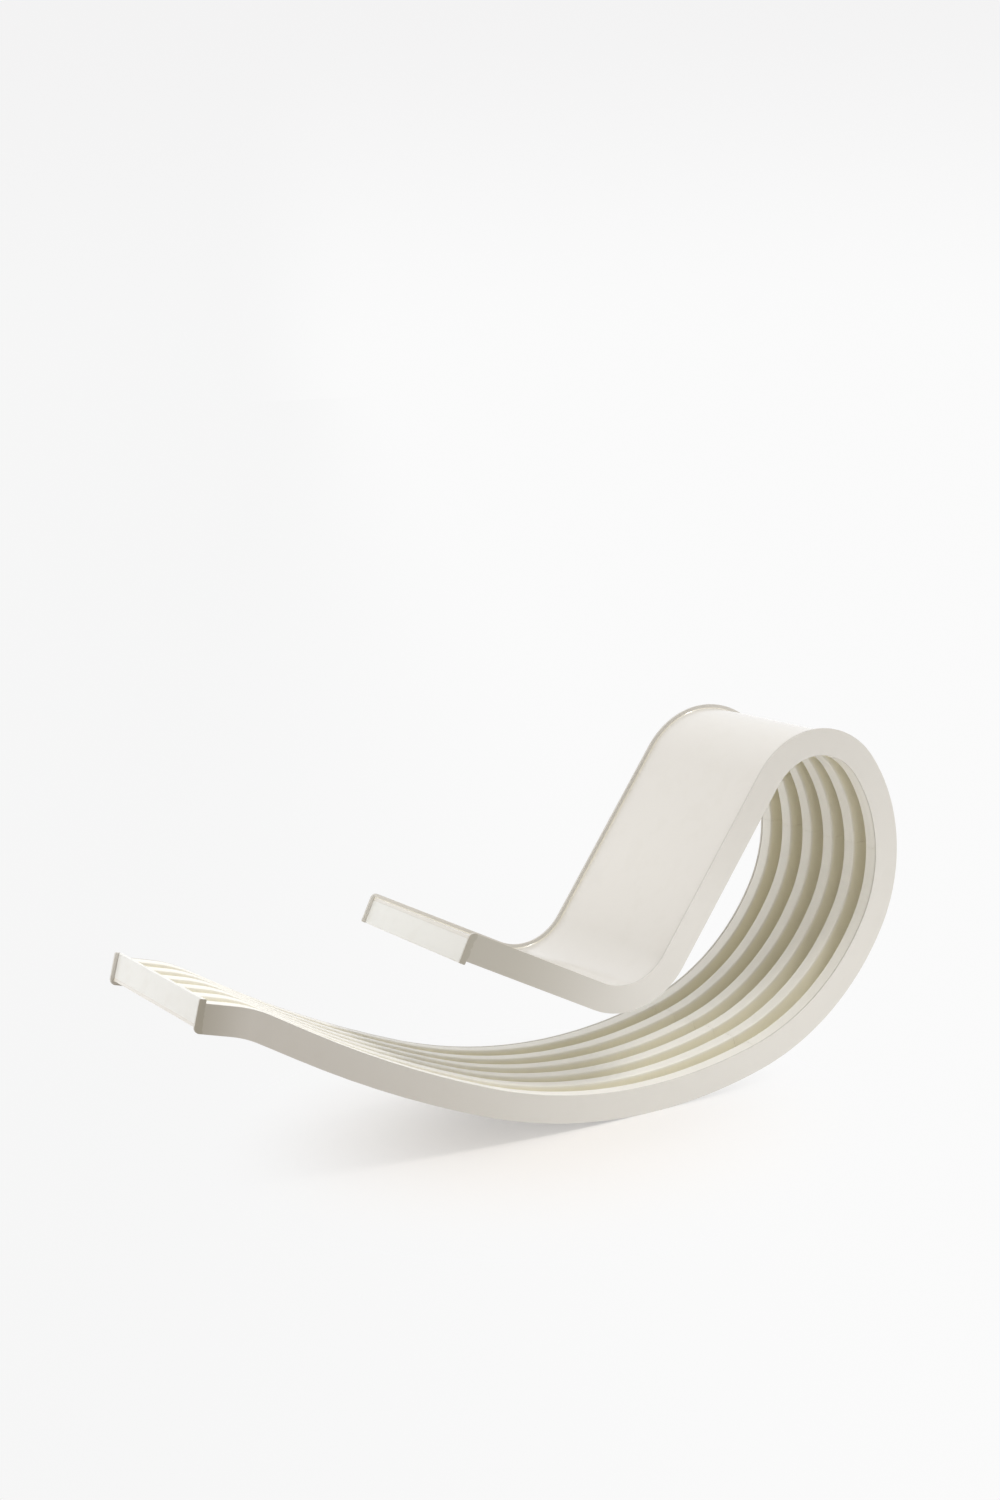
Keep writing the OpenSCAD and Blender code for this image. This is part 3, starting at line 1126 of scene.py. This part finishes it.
@dataclass
class Ribs(Assembly):
    """Six ribs, each glued up from five curved segments."""

    count: int = 6
    width: float = 0.036
    edge_radius: float = 0.003
    joint_radius: float = 0.0003
    back_joint_share: float = 0.5
    loop_joint_share: float = 0.54

    def centre(self, number: int) -> float:
        """Place of a rib's middle across the width, counted from zero."""
        pitch = (self.inner_width - self.width) / (self.count - 1)
        return (number - (self.count - 1) / 2) * pitch

    def cuts(self) -> tuple[tuple[str, float, float], ...]:
        """Each segment's name with the lengths along the path where it starts and ends."""
        ribbon, gap = self.ribbon, self.glue_line / 2
        start = self.end_depth + self.glue_line
        back = ribbon.before(2) + ribbon.stretches[2].length * self.back_joint_share
        loop = ribbon.before(4) + ribbon.stretches[4].length * self.loop_joint_share
        heel, sweep = ribbon.before(6), ribbon.before(7)
        return (
            ("seat", start, back - gap),
            ("head", back + gap, loop - gap),
            ("loop", loop + gap, heel - gap),
            ("rocker", heel + gap, sweep - gap),
            ("foot", sweep + gap, ribbon.length - start),
        )

    def build_one(self, name: str, y: float, low: float, high: float) -> bpy.types.Object:
        """Builds one segment.

        Args:
            name: The piece's name.
            y: Place of the rib's middle across the width.
            low: Length along the path where it starts.
            high: Length where it ends.

        Returns:
            The piece.
        """
        grown, pose, half = RibbonMesh(self.ribbon), self.ribbon.pose(low), self.ribbon.half
        face = grown.section(low, -half, self.rib_top, y, self.width)
        inner = [vert for vert in face.verts if pose.off(vert.co) < NEAR - half]
        grown.bevel(inner, self.edge_radius, segments=5, what=Rounded.CORNERS)
        grown.fill(low, high)
        caps = [face for face in grown.bm.faces if len(face.verts) > 4]
        grown.bevel([edge for cap in caps for edge in cap.edges], self.joint_radius, segments=1)
        return grown.finish(name)

    def build(self) -> None:
        """Builds all segments of all ribs."""
        for number in range(self.count):
            for part, low, high in self.cuts():
                node = f"rib{number + 1}_{part}"
                piece = self.build_one(node + "_face", self.centre(number), low, high)
                self.install(piece, Finish.RIB, node)


@dataclass
class Joinery(Assembly):
    """The tenons and dowels hidden in the ribs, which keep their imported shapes."""

    nodes: tuple[str, ...] = (
        "back_tenons", "loop_tenons", "heel_tenons", "sweep_tenons",
        "seat_end_dowels", "foot_end_dowels",
    )

    def build(self) -> None:
        """Gives the hidden joinery its wood."""
        for name in self.nodes:
            self.finishes.dress(frame["nodes"][name], Finish.JOINERY)
            LOG.info("%s: kept as packed", name)


# The studio


def aim(lamp: bpy.types.Object, way: Vector) -> None:
    """Turns a lamp so that it shines along a vector."""
    lamp.rotation_euler = way.to_track_quat("-Z", "Y").to_euler()


@dataclass(frozen=True)
class SoftBox:
    """A round soft box near the lounger."""

    name: str
    place: RGB
    target: RGB
    size: float
    power: float

    def build(self) -> None:
        """Adds the lamp to the scene, out of the camera's sight."""
        data = bpy.data.lights.new(self.name, "AREA")
        data.shape, data.size, data.energy = "DISK", self.size, self.power
        lamp = add_object(self.name, data)
        lamp.location = self.place
        aim(lamp, Vector(self.target) - Vector(self.place))
        lamp.visible_camera = False


@dataclass(frozen=True)
class KeyLight:
    """The main light, high at the right front, which gives the shadow its clear front edge."""

    shines: RGB
    strength: float
    spread: float

    def build(self) -> None:
        """Adds the light to the scene."""
        data = bpy.data.lights.new("key_light", "SUN")
        data.energy, data.angle = self.strength, math.radians(self.spread)
        aim(add_object("key_light", data), Vector(self.shines))


@dataclass(frozen=True)
class Wall:
    """A white wall of the studio: the soft light that comes from one side."""

    towards: RGB
    strength: float
    tightness: float = 4.0

    def light(self, kit: NodeKit, direction: Socket) -> Socket:
        """The wall's light in a direction.

        Args:
            kit: The world's kit.
            direction: The direction that is looked in.

        Returns:
            The light's strength.
        """
        facing = kit.add("ShaderNodeVectorMath", operation="DOT_PRODUCT")
        kit.link(direction, facing.inputs[0])
        facing.inputs[1].default_value = Vector(self.towards).normalized()
        share = kit.math("POWER", kit.math("MAXIMUM", facing.outputs["Value"], 0.0), self.tightness)
        return kit.times(share, self.strength)


@dataclass
class Studio:
    """The pale floor, the white walls, the lamps and the camera.

    The sweep is the plain backdrop that the camera sees. It gets lighter towards the
    right, along X less a share of Y, and changes its tone a little towards the top. The
    flag is a dark cloth on the floor at the left front, which only the light sees.
    """

    floor_radius: float = 40.0
    floor_colour: RGB = (0.88, 0.88, 0.88)
    shadow_colour: RGB = (0.90, 0.85, 0.795)
    flag_colour: RGB = (0.21, 0.15, 0.08)
    shadow_place: RGB = (-0.08, -0.18, 0.0)
    shadow_share: float = 0.60
    shadow_reach: Span = (0.08, 0.80)
    flag_x: Span = (0.15, -0.85)
    flag_y: Span = (0.1, -0.25)
    floor_roughness: float = 0.6
    lean: float = 0.5
    floor_sweep: Span = (-1.4, 0.8)
    far_sweep: Span = (-0.04, 0.02)
    rise: Span = (-0.03, 0.12)
    sweep_left: RGB = (0.925, 0.925, 0.925)
    sweep_right: RGB = (0.962, 0.962, 0.962)
    sweep_top: RGB = (0.900, 0.896, 0.898)
    camera_place: RGB = (-2.938733, -4.950004, 1.979565)
    camera_turn: RGB = (79.209115, 2.404589, -30.814691)
    lens: float = 58.980
    walls: tuple[Wall, ...] = (
        Wall((0.0, 1.0, 0.15), 1.80),
        Wall((1.0, 0.0, 0.15), 1.80),
        Wall((1.0, 0.0, 1.0), 0.82),
        Wall((-1.0, 0.0, 0.15), 1.58),
        Wall((0.0, -1.0, 0.15), 0.38),
        Wall((0.0, -1.0, 1.0), 0.45),
    )
    boxes: tuple[SoftBox, ...] = (
        SoftBox("front_box", (0.75, -1.3, 0.1), (0.5, -0.24, 0.1), 0.8, 2.9),
        SoftBox("left_box", (-2.6, 0.3, 0.7), (0.0, 0.0, 0.3), 1.4, 4.8),
        SoftBox("top_left_box", (-1.6, 0.2, 2.2), (0.0, 0.0, 0.2), 1.4, 6.0),
    )
    key_light: KeyLight = KeyLight((-0.35, 0.40, -0.85), 0.95, 16.0)

    def seen_plainly(self, kit: NodeKit) -> Socket:
        """One for camera, glossy and clear rays, which see the plain backdrop."""
        rays = kit.add("ShaderNodeLightPath").outputs
        mirrored = kit.math("MAXIMUM", rays["Is Glossy Ray"], rays["Is Transmission Ray"])
        return kit.math("MAXIMUM", rays["Is Camera Ray"], mirrored)

    def sweep(self, kit: NodeKit, x: Socket, y: Socket, span: Span) -> Socket:
        """The backdrop's colour by X and Y of what is seen, with the span of its change."""
        aside = kit.math("SUBTRACT", x, kit.times(y, self.lean))
        return kit.mix(kit.within(aside, *span), self.sweep_left, self.sweep_right)

    def floor_paint(self) -> bpy.types.Material:
        """The floor's material, which keeps the shadow near the lounger."""
        material, kit, shader = new_material("floor_paint")
        place = kit.add("ShaderNodeTexCoord").outputs["Object"]
        x, y, _ = kit.split(place)
        seen = self.seen_plainly(kit)
        flagged = kit.times(kit.within(x, *self.flag_x), kit.within(y, *self.flag_y))
        bounced = kit.mix(flagged, self.floor_colour, self.flag_colour)
        colour = kit.mix(seen, bounced, self.shadow_colour)
        kit.set(shader, Base_Color=colour, Roughness=self.floor_roughness, Specular_IOR_Level=0.0)
        distance = kit.add("ShaderNodeVectorMath", operation="DISTANCE")
        kit.link(place, distance.inputs[0])
        distance.inputs[1].default_value = self.shadow_place
        beyond = kit.within(distance.outputs["Value"], *self.shadow_reach)
        share = kit.times(kit.between(beyond, 1.0 - self.shadow_share, 1.0), seen)
        sweep = self.sweep(kit, x, y, self.floor_sweep)
        plain = kit.add("ShaderNodeEmission", Color=sweep, Strength=1.0)
        surface = material.node_tree.nodes["Material Output"].inputs["Surface"]
        kit.mix_shaders(share, shader.outputs[0], plain.outputs[0], surface)
        return material

    def floor(self) -> None:
        """Adds the floor."""
        bm = bmesh.new()
        bmesh.ops.create_circle(bm, cap_ends=True, segments=96, radius=self.floor_radius)
        mesh = bpy.data.meshes.new("studio_floor")
        bm.to_mesh(mesh)
        bm.free()
        mesh.materials.append(self.floor_paint())
        made = add_object("studio_floor", mesh)

    def world(self) -> None:
        """Sets the surroundings: the walls' light, and the plain backdrop."""
        world = bpy.data.worlds.new("studio_white")
        bpy.context.scene.world = world
        world.use_nodes = True
        kit = NodeKit(world.node_tree)
        lit = world.node_tree.nodes["Background"]
        lit.inputs["Color"].default_value = (1.0, 1.0, 1.0, 1.0)
        direction = kit.add("ShaderNodeTexCoord").outputs["Generated"]
        total = self.walls[0].light(kit, direction)
        for wall in self.walls[1:]:
            total = kit.math("ADD", total, wall.light(kit, direction))
        kit.link(total, lit.inputs["Strength"])
        x, y, z = kit.split(direction)
        sweep = self.sweep(kit, x, y, self.far_sweep)
        seen = kit.mix(kit.within(z, *self.rise), sweep, self.sweep_top)
        backdrop = kit.add("ShaderNodeBackground", Color=seen, Strength=1.0)
        surface = world.node_tree.nodes["World Output"].inputs["Surface"]
        kit.mix_shaders(self.seen_plainly(kit), lit.outputs[0], backdrop.outputs[0], surface)

    def camera(self) -> None:
        """Adds the camera at the photograph's viewing angle."""
        data = bpy.data.cameras.new("view")
        data.sensor_fit, data.sensor_width, data.lens = "AUTO", 36.0, self.lens
        data.clip_start, data.clip_end = 0.05, 200.0
        made = add_object("view", data)
        made.location = self.camera_place
        made.rotation_euler = [math.radians(turn) for turn in self.camera_turn]
        bpy.context.scene.camera = made

    def build(self) -> None:
        """Builds the whole studio."""
        self.floor()
        self.world()
        self.camera()
        for lamp in (*self.boxes, self.key_light):
            lamp.build()
        bpy.context.scene.view_settings.view_transform = "Standard"
        LOG.info("studio: %d walls, %d soft boxes", len(self.walls), len(self.boxes))


def main() -> None:
    """Builds the lounger's sub-assemblies in order, then the studio."""
    logging.basicConfig(level=logging.INFO, format="%(message)s")
    ribbon, finishes = Ribbon(), Finishes()
    for kind in (Cheeks, Skins, EndPlates, Ribs, Joinery):
        kind(ribbon, finishes).build()
        LOG.info("%s built", kind.__name__)
    Studio().build()


if __name__ == "__main__":
    main()
